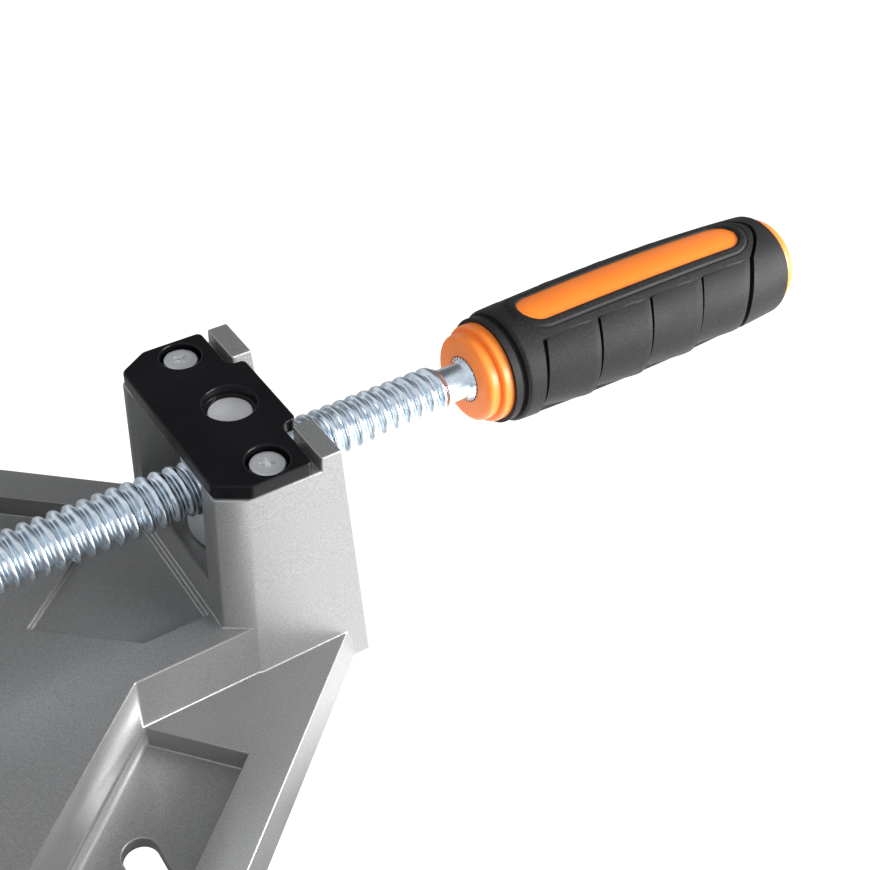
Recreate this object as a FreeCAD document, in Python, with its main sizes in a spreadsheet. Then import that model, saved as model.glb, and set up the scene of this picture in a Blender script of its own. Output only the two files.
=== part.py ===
"""Corner clamp: a cast body with two square fences, a swivelling spindle and a wedge jaw.

Millimetres. +X runs along the spindle towards the handle, +Z is up, and the origin is the
theoretical corner where the two fence faces meet, at bench level. Most pieces are drawn
about the nut's upright swivel axis and placed from there.
"""
import FreeCAD, Part
import math
import os
import re
import Sketcher

SIZES = {
    # How far a cutting outline reaches past the faces it has to clear
    "overcut": 3.0,
    # Body casting: heights are above the bench, lengths along X are from the nut axis
    "corner_to_nut": 164.0,
    "spindle_height": 52.0,
    "bed_height": 27.5,
    "flange_height": 10.8,
    "flange_draft": 8.0,
    "fence_height": 64.0,
    "fence_wall": 9.0,
    "fence_foot": 15.0,
    "rib_width": 5.0,
    "rib_drop": 7.0,
    "rib_spacing": 30.0,
    "flange_lip": 5.0,
    "flange_half_width": 90.0,
    "nose_cut": 10.0,
    "corner_relief": 6.0,
    "flare_angle": 41.0,
    "neck_half_width": 29.3,
    "neck_length": 43.2,
    "wing_width": 38.5,
    "bar_width": 11.3,
    "wing_floor": 4.0,
    "skirt_foot": 1.0,
    "slot_width": 8.5,
    "slot_length": 16.0,
    "slot_ahead": 57.0,
    "slot_offset": 60.5,
    "casting_wall": 4.5,
    "recess_depth": 2.0,
    "recess_half_width": 19.0,
    "recess_back": 19.3,
    "recess_shoulder": 36.0,
    "recess_tip": 58.0,
    # Tower of the body
    "tower_front": 17.0,
    "tower_top": 70.0,
    "tower_half_width": 28.9,
    "tower_draft": 1.0,
    "tower_back": 14.1,
    "back_draft": 5.7,
    "tower_chamfer_x": 7.7,
    "tower_chamfer_y": 4.8,
    "window_half_width": 18.5,
    "back_gap_half_width": 15.3,
    "post_front": 8.6,
    "sill_height": 38.0,
    "sill_wall": 3.5,
    "cavity_floor": 35.0,
    # Cover plate of the tower
    "plate_thickness": 4.0,
    "plate_back": 6.6,
    "tab_back": 11.0,
    "tab_half_width": 13.2,
    "plate_corner": 1.5,
    "front_corner": 2.5,
    "screw_ahead": 2.0,
    "screw_offset": 22.6,
    "screw_radius": 2.5,
    "screw_length": 16.0,
    "head_radius": 4.3,
    "head_thickness": 2.0,
    "head_sink": 1.2,
    "head_recess": 5.2,
    "screw_play": 0.2,
    # Swivel nut
    "nut_radius": 13.0,
    "nut_journal": 5.6,
    "journal_depth": 7.0,
    "nut_play": 0.3,
    "running_fit": 0.08,
    "journal_chamfer": 1.0,
    "journal_recess": 2.9,
    # Spindle
    "thread_radius": 7.0,
    "thread_end": 62.0,
    "thread_lead_in": 1.6,
    "shank_radius": 5.0,
    "handle_front": 70.0,
    "spline_radius": 6.6,
    "spline_length": 34.0,
    "nose_radius": 4.5,
    "clip_radius": 6.5,
    "clip_thickness": 1.0,
    "clip_depth": 0.9,
    "clip_fit": 0.02,
    "nose_end": 1.2,
    "nose_chamfer": 0.5,
    "washer_thickness": 1.0,
    "washer_radius": 7.0,
    "end_play": 0.15,
    # Jaw and the swivel block in it
    "jaw_reach": 100.0,
    "block_radius": 12.0,
    "block_flat": 8.0,
    "block_height": 19.0,
    "block_journal": 4.0,
    "jaw_nose": 23.0,
    "jaw_nose_half": 3.0,
    "jaw_half_width": 36.0,
    "jaw_end_depth": 7.0,
    "jaw_back": 20.0,
    "jaw_back_half": 15.0,
    "jaw_lift": 0.4,
    "jaw_rise": 10.0,
    "mouth_half_width": 10.2,
    "jaw_plate_thickness": 3.0,
    "jaw_plate_inset": 2.0,
    "jaw_screw_offset": 16.0,
    "jaw_screw_radius": 2.0,
    "jaw_screw_length": 12.0,
    "jaw_head_radius": 3.6,
    "jaw_head_thickness": 1.9,
    # Handle: stations are from the handle's front face
    "flange_radius": 12.5,
    "flange_length": 3.9,
    "collar_radius": 14.0,
    "collar_length": 3.1,
    "ring_edge": 0.7,
    "core_radius": 13.2,
    "grip_front_radius": 15.2,
    "grip_front_band": 3.4,
    "grip_shoulder_radius": 16.2,
    "grip_radius": 17.7,
    "grip_end_radius": 15.8,
    "grip_end_round": 1.4,
    "grip_length": 103.2,
    "overmould_gap": 0.03,
    "window_front": 17.6,
    "window_end_gap": 13.2,
    "window_radius": 5.7,
    "island_drop": 0.7,
    "groove_first": 18.0,
    "groove_pitch": 18.65,
    "groove_width": 1.3,
    "groove_depth": 1.3,
    "groove_arc": 106.0,
    "finger_step": 1.0,
    "finger_ramp": 13.0,
    "cap_length": 5.4,
    "cap_rim": 14.2,
    "cap_plug_radius": 9.0,
    "cap_plug_length": 10.0,
}
GROOVE_COUNT = 5
RIBS_PER_FENCE = 3
SWELL_STEPS = 6
DOME_ANGLES = (20, 40, 58, 72, 82)
JAW_TOP = "(spindle_height + jaw_rise)"
GRIP_FRONT = "(flange_length + collar_length)"
GRIP_REAR = "(flange_length + collar_length + grip_length)"

doc = FreeCAD.newDocument("corner_clamp")
sheet = doc.addObject("Spreadsheet::Sheet", "Sizes")
for row, (alias, value) in enumerate(SIZES.items(), start=1):
    sheet.set(f"A{row}", alias)
    sheet.set(f"B{row}", str(value))
    sheet.setAlias(f"B{row}", alias)
doc.recompute()

WORD = re.compile(r"[a-z_]+[a-z0-9_]*")
parts = []


def bound(expression):
    """The expression with each size's name pointing at its cell."""
    return WORD.sub(lambda m: "Sizes." + m.group() if m.group() in SIZES else m.group(), str(expression))


def value(expression):
    """What an expression comes to, as a number."""
    return float(sheet.evalExpression(bound(expression)))


def part_body(name, x="0", z="0"):
    """A sub-part's body, placed along the clamp's centre line."""
    body = doc.addObject("PartDesign::Body", name)
    body.Label = name
    body.setExpression("Placement.Base.x", bound(x))
    body.setExpression("Placement.Base.z", bound(z))
    parts.append(body)
    return body


def plane_sketch(body, name, role, offset="0"):
    """A sketch on one of the body's own origin planes, moved along its normal."""
    sketch = body.newObject("Sketcher::SketchObject", name)
    plane = [f for f in body.Origin.OriginFeatures if f.Role == role][0]
    sketch.AttachmentSupport = [(plane, "")]
    sketch.MapMode = "FlatFace"
    sketch.setExpression("AttachmentOffset.Base.z", bound(offset))
    return sketch


def add_loop(sketch, points):
    """A closed loop of straight lines whose corners are tied to expressions."""
    corners = [FreeCAD.Vector(value(x), value(y), 0) for x, y in points]
    first = sketch.GeometryCount
    count = len(corners)
    for i in range(count):
        sketch.addGeometry(Part.LineSegment(corners[i], corners[(i + 1) % count]))
    for i in range(count):
        sketch.addConstraint(Sketcher.Constraint("Coincident", first + i, 2, first + (i + 1) % count, 1))
    for i in range(count):
        x, y = points[i]
        for kind, number, text in (("DistanceX", corners[i].x, x), ("DistanceY", corners[i].y, y)):
            index = sketch.addConstraint(Sketcher.Constraint(kind, -1, 1, first + i, 1, number))
            sketch.setExpression(f"Constraints[{index}]", bound(text))


def add_circle(sketch, x, y, radius):
    """A circle whose centre and radius are tied to expressions."""
    centre = FreeCAD.Vector(value(x), value(y), 0)
    circle = sketch.addGeometry(Part.Circle(centre, FreeCAD.Vector(0, 0, 1), value(radius)))
    for kind, number, text in (("DistanceX", centre.x, x), ("DistanceY", centre.y, y)):
        index = sketch.addConstraint(Sketcher.Constraint(kind, -1, 1, circle, 3, number))
        sketch.setExpression(f"Constraints[{index}]", bound(text))
    index = sketch.addConstraint(Sketcher.Constraint("Radius", circle, value(radius)))
    sketch.setExpression(f"Constraints[{index}]", bound(radius))


def add_slot(sketch, ends, radius, along):
    """A round-ended slot between two (x, y) points, along X or Y."""
    (x0, y0), (x1, y1) = [[value(c) for c in end] for end in ends]
    r = value(radius)
    up = FreeCAD.Vector(0, 0, 1)
    a, b = FreeCAD.Vector(x0, y0, 0), FreeCAD.Vector(x1, y1, 0)
    quarter = math.pi / 2
    turn = 0.0 if along == "X" else quarter
    first = sketch.GeometryCount
    start = Part.ArcOfCircle(Part.Circle(a, up, r), turn + quarter, turn + 3 * quarter)
    stop = Part.ArcOfCircle(Part.Circle(b, up, r), turn - quarter, turn + quarter)
    sketch.addGeometry(start)
    sketch.addGeometry(stop)
    sketch.addGeometry(Part.LineSegment(start.EndPoint, stop.StartPoint))
    sketch.addGeometry(Part.LineSegment(stop.EndPoint, start.StartPoint))
    sketch.addConstraint(Sketcher.Constraint("Tangent", first + 2, 1, first, 2))
    sketch.addConstraint(Sketcher.Constraint("Tangent", first + 2, 2, first + 1, 1))
    sketch.addConstraint(Sketcher.Constraint("Tangent", first + 3, 1, first + 1, 2))
    sketch.addConstraint(Sketcher.Constraint("Tangent", first + 3, 2, first, 1))
    sketch.addConstraint(Sketcher.Constraint("Horizontal" if along == "X" else "Vertical", first + 2))
    index = sketch.addConstraint(Sketcher.Constraint("Radius", first, r))
    sketch.setExpression(f"Constraints[{index}]", bound(radius))
    free = 0 if along == "X" else 1
    for arc, (end, numbers) in enumerate(((ends[0], (x0, y0)), (ends[1], (x1, y1)))):
        for axis, kind in enumerate(("DistanceX", "DistanceY")):
            if arc == 1 and axis != free:
                continue
            index = sketch.addConstraint(Sketcher.Constraint(kind, -1, 1, first + arc, 3, numbers[axis]))
            sketch.setExpression(f"Constraints[{index}]", bound(end[axis]))


def pad(body, name, sketch, length, taper="0"):
    """Material added from a sketch, along its normal, narrowing by the taper."""
    feature = body.newObject("PartDesign::Pad", name)
    feature.Profile = sketch
    feature.setExpression("Length", bound(length))
    feature.setExpression("TaperAngle", bound(f"-({taper})"))
    doc.recompute()
    return feature


def pocket(body, name, sketch, depth, reversed_side=False, through=False):
    """Material cut from a sketch, against its normal unless turned round."""
    before = body.Shape.Volume
    feature = body.newObject("PartDesign::Pocket", name)
    feature.Profile = sketch
    if through:
        feature.Type = "ThroughAll"
    else:
        feature.setExpression("Length", bound(depth))
    feature.Reversed = reversed_side
    doc.recompute()
    if not body.Shape.Volume < before:
        raise RuntimeError(f"{name} cuts nothing")
    return feature


def revolve(body, name, points, angle="360", cut=False, midplane=False):
    """A profile of (station along X, radius) turned about the X axis."""
    before = body.Shape.Volume if cut else 0
    sketch = plane_sketch(body, f"{name}_profile", "XY_Plane")
    for loop in points:
        add_loop(sketch, loop)
    feature = body.newObject("PartDesign::Groove" if cut else "PartDesign::Revolution", name)
    feature.Profile = sketch
    feature.ReferenceAxis = (sketch, ["H_Axis"])
    feature.setExpression("Angle", bound(angle))
    feature.Midplane = midplane
    doc.recompute()
    if cut and not body.Shape.Volume < before:
        raise RuntimeError(f"{name} cuts nothing")
    return feature


def mirror_y(body, name, features):
    """Features repeated on the other side of the clamp's centre plane."""
    mirror = body.newObject("PartDesign::Mirrored", name)
    mirror.Originals = features
    plane = [f for f in body.Origin.OriginFeatures if f.Role == "XZ_Plane"][0]
    mirror.MirrorPlane = (plane, [""])
    body.Tip = mirror
    doc.recompute()
    return mirror


def both_sides(points):
    """A half outline on the +Y side, closed by its mirror image."""
    return points + [(x, f"-({y})") for x, y in reversed(points)]


def rectangle(x0, x1, y0, y1):
    """The four corners of a rectangle."""
    return [(x0, y0), (x1, y0), (x1, y1), (x0, y1)]


def upright_edges(shape, places, reach=0.05):
    """Names of the straight upright edges that stand at the given (x, y) places."""
    found = []
    spots = [(value(x), value(y)) for x, y in places]
    for i, edge in enumerate(shape.Edges, start=1):
        a, b = edge.firstVertex().Point, edge.lastVertex().Point
        if abs(a.x - b.x) > reach or abs(a.y - b.y) > reach or abs(a.z - b.z) < reach:
            continue
        if any(abs(a.x - x) < reach and abs(a.y - y) < reach for x, y in spots):
            found.append(f"Edge{i}")
    return found


def round_edges(body, name, base, edges, radius):
    """A fillet on named edges of a feature."""
    fillet = body.newObject("PartDesign::Fillet", name)
    fillet.Base = (base, edges)
    fillet.setExpression("Radius", bound(radius))
    body.Tip = fillet
    doc.recompute()
    return fillet


# Plan of the body, on its +Y side. The flare is the back edge of the raised bed.
def flare_point(along, out):
    """A point along the flare line from the neck, and out from it."""
    x = f"-neck_length - ({along}) * cos(flare_angle) + ({out}) * sin(flare_angle)"
    y = f"neck_half_width + ({along}) * sin(flare_angle) + ({out}) * cos(flare_angle)"
    return x, y


def flare_at_y(y, out):
    """Where the line that lies out from the flare reaches a given Y."""
    x = (f"-neck_length + ({out}) * sin(flare_angle)"
         f" - (({y}) - neck_half_width - ({out}) * cos(flare_angle)) / tan(flare_angle)")
    return x, y


def fence_point(along, out):
    """A point along the fence face from its corner, and out from the face."""
    return f"-corner_to_nut + (({along}) - ({out})) / sqrt(2)", f"(({along}) + ({out})) / sqrt(2)"


def fence_at_x(x, out):
    """Where the line that lies out from the fence face reaches a given X."""
    return x, f"({x}) + corner_to_nut + ({out}) * sqrt(2)"


def flare_at_x(x, out):
    """Where the line that lies out from the flare reaches a given X."""
    y = (f"neck_half_width + ({out}) * cos(flare_angle)"
         f" - (({x}) + neck_length - ({out}) * sin(flare_angle)) * tan(flare_angle)")
    return x, y


def fence_end(out, flare_out="0"):
    """Where the line that lies out from the fence face meets one out from the flare."""
    run = f"corner_to_nut - neck_length + ({flare_out}) * sin(flare_angle) + ({out}) * sqrt(2)"
    rise = f"(neck_half_width + ({flare_out}) * cos(flare_angle)) / tan(flare_angle)"
    y = f"({run} + {rise}) / (1 + 1 / tan(flare_angle))"
    return f"{y} - corner_to_nut - ({out}) * sqrt(2)", y


def make_body():
    body = part_body("body_casting", x="corner_to_nut")
    lean = "flange_height * tan(flange_draft)"
    foot = f"fence_foot + flange_lip + {lean}"
    wing = f"wing_width + {lean}"
    side = f"flange_half_width + {lean}"
    nose = f"-corner_to_nut - nose_cut - flange_lip - {lean}"

    flange = plane_sketch(body, "flange_outline", "XY_Plane")
    tower_foot = "neck_half_width + flange_height * tan(tower_draft)"
    add_loop(flange, both_sides([
        fence_at_x(nose, foot),
        (f"({side}) - corner_to_nut - ({foot}) * sqrt(2)", side),
        flare_at_y(side, wing),
        flare_at_y(tower_foot, wing),
    ]))
    pad(body, "flange", flange, "flange_height", taper="flange_draft")

    spread = "bed_height * tan(tower_draft)"
    bed = plane_sketch(body, "bed_outline", "XY_Plane")
    add_loop(bed, both_sides([
        fence_at_x("-corner_to_nut - nose_cut", "fence_foot"),
        fence_end("fence_foot"),
        flare_point("0", spread),
        ("0", f"neck_half_width + {spread}"),
    ]))
    pad(body, "bed", bed, "bed_height", taper="tower_draft")

    fence = plane_sketch(body, "fence_outline", "XY_Plane", "flange_height")
    inner = fence_end("0")
    add_loop(fence, [
        fence_at_x("-corner_to_nut - nose_cut", "fence_wall"),
        fence_end("fence_wall"), inner, ("-corner_to_nut", "0"),
        (inner[0], f"-({inner[1]})"),
        (fence_end("fence_wall")[0], f"-({fence_end('fence_wall')[1]})"),
        ("-corner_to_nut - nose_cut", f"-({fence_at_x('-corner_to_nut - nose_cut', 'fence_wall')[1]})"),
    ])
    pad(body, "fence_walls", fence, "fence_height - flange_height")

    for number in range(RIBS_PER_FENCE):
        middle = f"fence_foot + rib_spacing * ({number} + 0.5)"
        low, high = f"{middle} - rib_width / 2", f"{middle} + rib_width / 2"
        rib = plane_sketch(body, f"rib_outline_{number}", "XY_Plane", "flange_height")
        add_loop(rib, [fence_point(low, "fence_wall / 2"), fence_point(high, "fence_wall / 2"),
                       fence_point(high, "fence_foot"), fence_point(low, "fence_foot")])
        ribbed = pad(body, f"rib_{number}", rib, "fence_height - rib_drop - flange_height", taper="2")
        mirror_y(body, f"rib_pair_{number}", [ribbed])

    tower = plane_sketch(body, "tower_outline", "XY_Plane")
    top = "tower_top + plate_thickness"
    grow = f"({top}) * tan(tower_draft)"
    half = f"tower_half_width + {grow}"
    front = f"-tower_front - {grow}"
    add_loop(tower, both_sides([
        (front, f"{half} - tower_chamfer_y"),
        (f"{front} + tower_chamfer_x", half),
        (f"tower_back + ({top}) * tan(back_draft) + {grow}", half),
    ]))
    pad(body, "tower", tower, top, taper="tower_draft")

    # The back wall leans, and everything above the seat of the cover plate but the posts goes
    lean_cut = plane_sketch(body, "back_lean", "XZ_Plane", "-2 * tower_half_width")
    beyond = "tower_back + tower_half_width"
    add_loop(lean_cut, [
        ("tower_back", f"{top} + overcut"), ("tower_back", top),
        (f"tower_back + ({top}) * tan(back_draft)", "0"),
        (beyond, "0"), (beyond, f"{top} + overcut"),
    ])
    pocket(body, "back_slope", lean_cut, "4 * tower_half_width", reversed_side=True)
    seat = plane_sketch(body, "plate_seat_outline", "XY_Plane", top)
    add_loop(seat, rectangle("-tower_front - overcut", "post_front",
                             "-tower_half_width - overcut", "tower_half_width + overcut"))
    pocket(body, "plate_seat", seat, "plate_thickness")
    between = plane_sketch(body, "post_gap_outline", "XY_Plane", top)
    add_loop(between, rectangle("-tower_front", beyond, "-back_gap_half_width", "back_gap_half_width"))
    pocket(body, "post_gap", between, f"{top} - cavity_floor")
    cavity = plane_sketch(body, "nut_cavity_outline", "XY_Plane", "tower_top")
    add_loop(cavity, rectangle("-tower_front + sill_wall", "post_front",
                               "-window_half_width", "window_half_width"))
    pocket(body, "nut_cavity", cavity, "tower_top - cavity_floor")
    window = plane_sketch(body, "front_window_outline", "XY_Plane", "tower_top")
    add_loop(window, rectangle("-tower_front - overcut", "-tower_front + sill_wall + overcut",
                               "-window_half_width", "window_half_width"))
    pocket(body, "front_window", window, "tower_top - sill_height")
    return body


def finish_body(body):
    journal = plane_sketch(body, "journal_outline", "XY_Plane", "cavity_floor")
    add_circle(journal, "0", "0", "nut_journal + running_fit")
    pocket(body, "journal_bore", journal, "journal_depth + overcut")
    screws = plane_sketch(body, "cover_screw_outline", "XY_Plane", "tower_top")
    for sign in ("", "-"):
        add_circle(screws, "-screw_ahead", f"{sign}screw_offset", "screw_radius")
    pocket(body, "cover_screw_holes", screws, "screw_length")

    recess = plane_sketch(body, "recess_outline", "XY_Plane", "bed_height")
    add_loop(recess, [
        ("-recess_back", "recess_half_width"), ("-recess_shoulder", "recess_half_width"),
        ("-recess_tip", "0"),
        ("-recess_shoulder", "-recess_half_width"), ("-recess_back", "-recess_half_width"),
    ])
    pocket(body, "bed_recess", recess, "recess_depth")

    relief = plane_sketch(body, "relief_outline", "XY_Plane", "fence_height")
    add_circle(relief, "-corner_to_nut", "0", "corner_relief")
    pocket(body, "corner_relief_bore", relief, "fence_height - bed_height + recess_depth")

    wing_gap = "wing_width - bar_width"
    wing_side = "flange_half_width - bar_width"
    pan = plane_sketch(body, "wing_pan_outline", "XY_Plane", "flange_height")
    add_loop(pan, [
        flare_point("0", "skirt_foot"), flare_point("0", wing_gap),
        flare_at_y(wing_side, wing_gap), flare_at_y(wing_side, "skirt_foot"),
    ])
    panned = pocket(body, "wing_pan", pan, "flange_height - wing_floor")
    slot = plane_sketch(body, "bench_slot_outline", "XY_Plane", "wing_floor")
    straight = "slot_length / 2 - slot_width / 2"
    ends = [("-slot_ahead", f"slot_offset - ({straight})"), ("-slot_ahead", f"slot_offset + {straight}")]
    add_slot(slot, ends, "slot_width / 2", "Y")
    slotted = pocket(body, "bench_slot", slot, "wing_floor")
    mirror_y(body, "other_wing", [panned, slotted])

    # The casting is a shell: pockets from below leave walls, a spine and a cross rib
    spine = "casting_wall / 2"
    front = "-corner_to_nut + 2 * casting_wall"
    cross = "-neck_length - recess_shoulder"
    neck = "neck_half_width - casting_wall"
    under = plane_sketch(body, "underside_outline", "XY_Plane")
    add_loop(under, [
        (front, spine), fence_at_x(front, "-casting_wall"), fence_end("-casting_wall", "-casting_wall"),
        flare_at_x(f"{cross} - {spine}", "-casting_wall"), (f"{cross} - {spine}", spine),
    ])
    add_loop(under, [
        (f"{cross} + {spine}", spine), flare_at_x(f"{cross} + {spine}", "-casting_wall"),
        (flare_at_y(neck, "-casting_wall")[0], neck), ("-tower_front - casting_wall", neck),
        ("-tower_front - casting_wall", spine),
    ])
    hollow = pocket(body, "underside_pockets", under, "bed_height - recess_depth - casting_wall",
                    reversed_side=True)
    mirror_y(body, "underside_other_side", [hollow])
    return body


def make_cover_plate():
    plate = part_body("cover_plate", x="corner_to_nut", z="tower_top")
    outline = plane_sketch(plate, "plate_outline", "XY_Plane")
    add_loop(outline, both_sides([
        ("-tower_front", "tower_half_width - tower_chamfer_y"),
        ("-tower_front + tower_chamfer_x", "tower_half_width"),
        ("plate_back", "tower_half_width"),
        ("plate_back", "tab_half_width"), ("tab_back", "tab_half_width"),
    ]))
    base = pad(plate, "plate", outline, "plate_thickness")
    for name, radius, corners in (
            ("rear_corners", "plate_corner", [("plate_back", "tower_half_width"),
                                              ("tab_back", "tab_half_width")]),
            ("front_corners", "front_corner", [("-tower_front", "tower_half_width - tower_chamfer_y"),
                                               ("-tower_front + tower_chamfer_x", "tower_half_width"),
                                               ("plate_back", "tab_half_width")])):
        places = [(x, f"{sign}({y})") for sign in ("", "-") for x, y in corners]
        base = round_edges(plate, name, base, upright_edges(base.Shape, places), radius)
    holes = plane_sketch(plate, "plate_holes", "XY_Plane", "plate_thickness")
    add_circle(holes, "0", "0", "nut_journal + running_fit")
    for sign in ("", "-"):
        add_circle(holes, "-screw_ahead", f"{sign}screw_offset", "screw_radius + screw_play")
    pocket(plate, "holes", holes, "plate_thickness", through=True)
    seats = plane_sketch(plate, "head_seats_outline", "XY_Plane", "plate_thickness")
    add_circle(seats, "0", "0", "nut_journal + journal_chamfer")
    pocket(plate, "journal_rim", seats, "journal_recess")
    heads = plane_sketch(plate, "head_recess_outline", "XY_Plane", "plate_thickness")
    for sign in ("", "-"):
        add_circle(heads, "-screw_ahead", f"{sign}screw_offset", "head_recess")
    pocket(plate, "head_recesses", heads, "head_sink + head_thickness")
    return plate


def make_screws(name, x, seat, ahead, offset, radius, length, head_radius, head_thickness):
    """A pair of screws, head up, with the heads' undersides at the seat's height."""
    pair = part_body(name, x=x, z=seat)
    heads = plane_sketch(pair, f"{name}_heads", "XY_Plane")
    for sign in ("", "-"):
        add_circle(heads, ahead, f"{sign}{offset}", head_radius)
    pad(pair, f"{name}_head_pads", heads, head_thickness)
    shanks = plane_sketch(pair, f"{name}_shanks", "XY_Plane")
    for sign in ("", "-"):
        add_circle(shanks, ahead, f"{sign}{offset}", radius)
    shank_pad = pad(pair, f"{name}_shank_pads", shanks, length)
    shank_pad.Reversed = True
    doc.recompute()
    return pair


def make_nut():
    nut = part_body("swivel_nut", x="corner_to_nut", z="cavity_floor + nut_play")
    barrel = plane_sketch(nut, "barrel_outline", "XY_Plane")
    add_circle(barrel, "0", "0", "nut_radius")
    pad(nut, "barrel", barrel, "tower_top - cavity_floor - 2 * nut_play")
    upper = plane_sketch(nut, "upper_journal_outline", "XY_Plane")
    add_circle(upper, "0", "0", "nut_journal")
    rise = "tower_top + plate_thickness - cavity_floor - nut_play - journal_recess"
    pad(nut, "upper_journal", upper, rise)
    lower = plane_sketch(nut, "lower_journal_outline", "XY_Plane")
    add_circle(lower, "0", "0", "nut_journal")
    lower_pad = pad(nut, "lower_journal", lower, "journal_depth + nut_play")
    lower_pad.Reversed = True
    doc.recompute()
    bore = plane_sketch(nut, "thread_bore_outline", "YZ_Plane", "-nut_radius - overcut")
    add_circle(bore, "0", "spindle_height - cavity_floor - nut_play", "thread_radius + running_fit")
    pocket(nut, "thread_bore", bore, "2 * nut_radius + 2 * overcut", reversed_side=True)
    return nut


def make_spindle():
    spindle = part_body("spindle", x="corner_to_nut", z="spindle_height")
    shoulder = "-jaw_reach + block_flat + washer_thickness + end_play"
    tip = "-jaw_reach - block_flat - end_play - clip_thickness - nose_end"
    groove = "-jaw_reach - block_flat - end_play"
    neck = "nose_radius - clip_depth"
    revolve(spindle, "spindle_turning", [[
        (tip, "0"), (tip, "nose_radius - nose_chamfer"), (f"{tip} + nose_chamfer", "nose_radius"),
        (f"{groove} - clip_thickness", "nose_radius"), (f"{groove} - clip_thickness", neck),
        (groove, neck), (groove, "nose_radius"),
        (shoulder, "nose_radius"), (shoulder, "thread_radius - thread_lead_in"),
        (f"{shoulder} + thread_lead_in", "thread_radius"),
        ("thread_end - thread_lead_in", "thread_radius"), ("thread_end", "shank_radius"),
        ("handle_front", "shank_radius"), ("handle_front", "spline_radius"),
        ("handle_front + spline_length", "spline_radius"), ("handle_front + spline_length", "0"),
    ]])
    return spindle


def make_ring(name, x, inner, outer, thickness, away):
    """A flat ring on the spindle, its face at x, lying towards the handle or away from it."""
    ring = part_body(name, x=f"corner_to_nut + ({x})", z="spindle_height")
    outline = plane_sketch(ring, f"{name}_outline", "YZ_Plane")
    add_circle(outline, "0", "0", outer)
    add_circle(outline, "0", "0", inner)
    disc = pad(ring, f"{name}_disc", outline, thickness)
    disc.Reversed = away
    doc.recompute()
    return ring


def make_block():
    block = part_body("jaw_swivel_block", x="corner_to_nut - jaw_reach", z="spindle_height")
    barrel = plane_sketch(block, "block_outline", "XY_Plane", "-block_height / 2")
    add_circle(barrel, "0", "0", "block_radius")
    pad(block, "block_barrel", barrel, "block_height")
    journal = plane_sketch(block, "block_journal_outline", "XY_Plane")
    add_circle(journal, "0", "0", "block_journal")
    pad(block, "block_journal", journal, "jaw_rise + jaw_plate_thickness - nut_play")
    for side, name in (("", "handle"), ("-", "fence")):
        flat = plane_sketch(block, f"{name}_flat_outline", "YZ_Plane", f"{side}block_flat")
        add_loop(flat, rectangle("-block_radius - overcut", "block_radius + overcut",
                                 "-block_height", "block_height / 2"))
        pocket(block, f"{name}_flat", flat, "block_radius", reversed_side=(side == ""))
    bore = plane_sketch(block, "nose_bore_outline", "YZ_Plane", "-block_radius - overcut")
    add_circle(bore, "0", "0", "nose_radius + running_fit")
    pocket(block, "nose_bore", bore, "2 * block_radius + 2 * overcut", reversed_side=True)
    return block


def jaw_plan(inset="0"):
    """The jaw's plan about its swivel axis, drawn in by an inset."""
    i = f"({inset})"
    face = f"jaw_nose + jaw_nose_half - {i} * sqrt(2)"
    wide = f"jaw_half_width - {i}"
    end = f"2 * jaw_half_width - jaw_nose - jaw_nose_half - {i} * sqrt(2)"
    return [
        (f"-jaw_nose + {i}", f"jaw_nose_half + {i} - {i} * sqrt(2)"),
        (f"{wide} - ({face})", wide),
        (f"{end} - ({wide}) + jaw_end_depth", f"{wide} - jaw_end_depth"),
        (f"jaw_back - {i}", f"jaw_back_half - {i}"),
    ]


def make_jaw():
    floor = "bed_height + jaw_lift"
    jaw = part_body("moving_jaw", x="corner_to_nut - jaw_reach", z=floor)
    outline = plane_sketch(jaw, "jaw_outline", "XY_Plane")
    add_loop(outline, both_sides(jaw_plan()))
    pad(jaw, "wedge", outline, f"{JAW_TOP} - ({floor})")
    well = plane_sketch(jaw, "block_well_outline", "XY_Plane", f"{JAW_TOP} - ({floor})")
    add_circle(well, "0", "0", "block_radius + nut_play")
    pocket(jaw, "block_well", well, "jaw_rise + block_height / 2 + nut_play")
    mouth = plane_sketch(jaw, "spindle_mouth_outline", "XY_Plane", f"{JAW_TOP} - ({floor})")
    add_loop(mouth, rectangle("block_radius / 2", "jaw_back + overcut",
                              "-mouth_half_width", "mouth_half_width"))
    pocket(jaw, "spindle_mouth", mouth, "jaw_rise + thread_radius + 2 * nut_play")
    return jaw


def finish_jaw(jaw):
    top = f"{JAW_TOP} - bed_height - jaw_lift"
    wall = "casting_wall"
    hub = f"jaw_screw_offset + jaw_screw_radius + {wall} / 2"
    face = f"jaw_nose + jaw_nose_half - {wall} * sqrt(2)"
    end = f"2 * jaw_half_width - jaw_nose - jaw_nose_half - {wall} * sqrt(2)"
    cell = plane_sketch(jaw, "side_cell_outline", "XY_Plane", top)
    add_loop(cell, [
        (f"{hub} - ({face})", hub),
        (f"(({end}) - ({face})) / 2", f"(({end}) + ({face})) / 2"),
        (f"jaw_back - 2 * {wall}", f"{end} - jaw_back + 2 * {wall}"),
        (f"jaw_back - 2 * {wall}", hub),
    ])
    hollow = pocket(jaw, "side_cell", cell, f"{top} - {wall}")
    screws = plane_sketch(jaw, "jaw_screw_outline", "XY_Plane", top)
    add_circle(screws, "0", "jaw_screw_offset", "jaw_screw_radius")
    drilled = pocket(jaw, "jaw_screw_hole", screws, "jaw_screw_length")
    mirror_y(jaw, "other_side", [hollow, drilled])
    return jaw


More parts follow.
